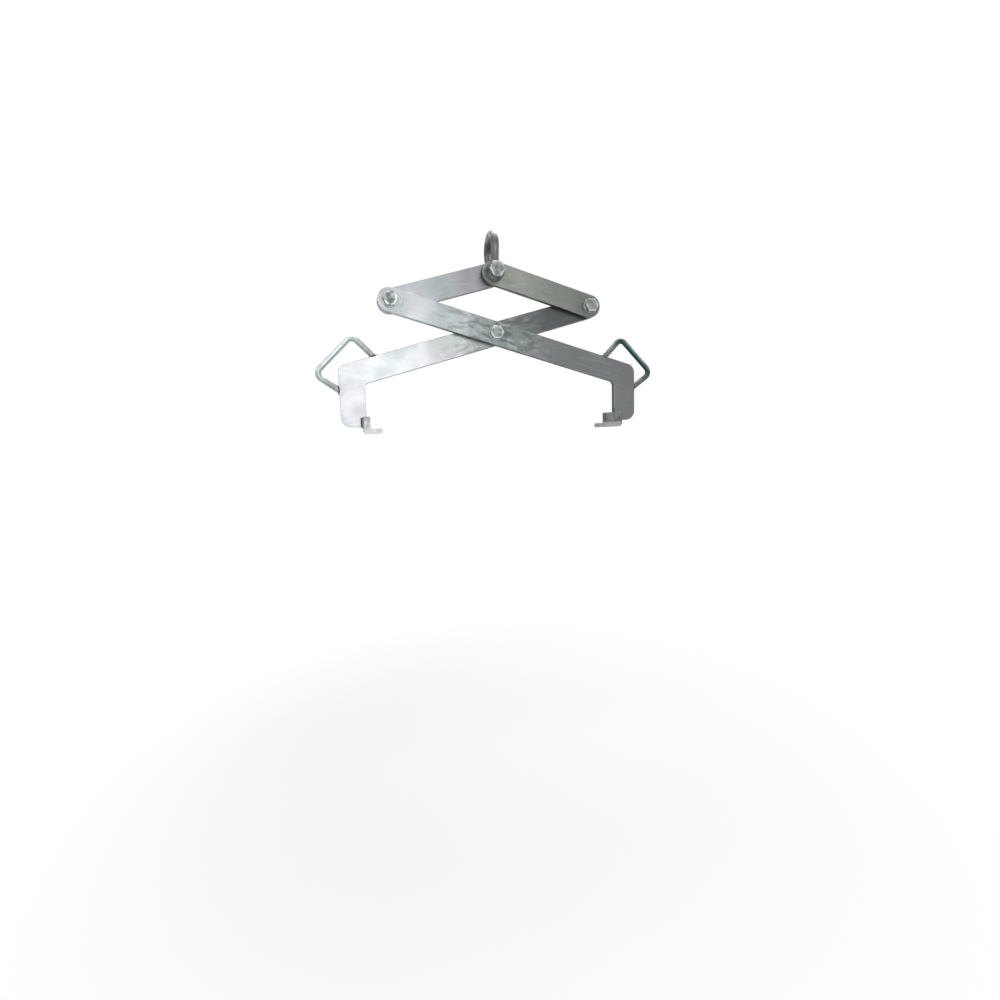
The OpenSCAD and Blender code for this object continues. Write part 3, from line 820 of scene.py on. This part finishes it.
def straight_weld(name, start, end, size):
    """Lays a bead of ripples from one point to another."""
    run = Vector(end) - Vector(start)
    step = 0.5 * size
    bead = weld_ripple(name, (0, 0, 0), size)
    bpy.ops.object.mode_set(mode="OBJECT")
    apply_modifier(
        bead, "ARRAY", count=round(run.length / step) + 1, use_relative_offset=False,
        use_constant_offset=True, constant_offset_displace=(0, step, 0),
    )
    bead.rotation_mode = "QUATERNION"
    bead.rotation_quaternion = run.to_track_quat("Y", "Z")
    bead.location = start
    take(bead)
    bpy.ops.object.transform_apply()
    return bead


for side, body, hand in (("right", "right_arm_set", 1), ("left", "left_arm_set", -1)):
    shoe_low, shoe_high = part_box(side + "_jaw_shoe")
    leg_low, leg_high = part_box(side + "_jaw_arm")
    back_x = hand * (max(abs(shoe_low.x), abs(shoe_high.x)) + bead_proud)
    beads = []
    for y in (leg_low.y - bead_proud, leg_high.y + bead_proud):
        name = f"{side}_shoe_welds" if not beads else f"{side}_back_weld"
        foot = (back_x, y, leg_low.z + bead_inset)
        top = (back_x, y, shoe_high.z - 2 * bead_inset)
        beads.append(straight_weld(name, foot, top, back_bead))
    heel_z = leg_low.z - heel_proud
    front = (back_x, leg_low.y + bead_inset, heel_z)
    rear = (back_x, leg_high.y - bead_inset, heel_z)
    beads.append(straight_weld(f"{side}_heel_weld", front, rear, heel_bead))
    fit_out(join(beads), body, "jaw_steel", weld_zinc)


# Stage: a plain pale floor below the hanging lifter, soft lamps and the photograph's camera.
# The background is white to the camera and to the metal, and the floor keeps the shadow.

def seen_rays(tree):
    """One where a ray comes from the camera, as a reflection or through something clear."""
    path = add_node(tree, "LightPath").outputs
    seen = combine(tree, "MAXIMUM", path["Is Camera Ray"], path["Is Glossy Ray"])
    return combine(tree, "MAXIMUM", seen, path["Is Transmission Ray"])


floor_middle = (0, 0, -1.32)
bpy.ops.object.select_all(action="DESELECT")
bpy.ops.mesh.primitive_plane_add(size=60, location=floor_middle)
floor = bpy.context.object
floor.name = "floor"
bpy.ops.object.transform_apply()
pale, tree, shader = start_finish("pale_floor", 0.0)
shader.inputs["Base Color"].default_value = (0.96, 0.96, 0.96, 1)
shader.inputs["Roughness"].default_value = 0.9
shader.inputs["Specular IOR Level"].default_value = 0.0
reach = add_node(tree, "VectorMath", {"operation": "DISTANCE"}, {
    0: place_on(tree), 1: floor_middle,
}).outputs[1]
white = add_node(tree, "Emission", {}, {"Color": (1, 1, 1, 1), "Strength": 1.0})
far = combine(tree, "MULTIPLY", spread(tree, reach, 0.35, 1.1), seen_rays(tree))
blend = add_node(tree, "MixShader", {}, {0: far, 1: shader.outputs[0], 2: white.outputs[0]})
tree.links.new(blend.outputs[0], tree.nodes["Material Output"].inputs["Surface"])
floor.data.materials.append(pale)

world = bpy.data.worlds.new("studio")
world.use_nodes = True
bpy.context.scene.world = world
sky = world.node_tree.nodes["Background"]
sky.inputs["Color"].default_value = (1, 1, 1, 1)
tree = world.node_tree
strength = spread(tree, seen_rays(tree), 0.0, 1.0, 0.5, 1.0)
tree.links.new(strength, sky.inputs["Strength"])

for name, place, target, size, power in (
    ("key_lamp", (-0.12, -2.1, -0.10), (-0.20, 0, -0.25), 0.9, 7.5),
    ("top_lamp", (0.2, 0.2, 1.7), (0.1, 0, -0.3), 2.0, 40),
    ("rim_lamp", (1.3, 0.6, 0.5), (0.3, 0, -0.3), 1.5, 6),
):
    bpy.ops.object.light_add(type="AREA", location=place)
    lamp = bpy.context.object
    lamp.name = name
    lamp.data.size = size
    lamp.data.energy = power
    lamp.rotation_mode = "QUATERNION"
    lamp.rotation_quaternion = (Vector(target) - Vector(place)).to_track_quat("-Z", "Y")

bpy.ops.object.camera_add()
camera = bpy.context.object
camera.name = "camera"
camera.data.sensor_width = 36
camera.data.lens = 19.727
pan, tilt, roll = (math.radians(degrees) for degrees in (-15.563, 83.294, -1.876))
camera.matrix_world = (
    Matrix.Translation((-0.3736, -1.3462, -0.4747)) @ Matrix.Rotation(pan, 4, "Z")
    @ Matrix.Rotation(tilt, 4, "X") @ Matrix.Rotation(roll, 4, "Z")
)
bpy.context.scene.camera = camera
bpy.context.scene.view_settings.view_transform = "Standard"
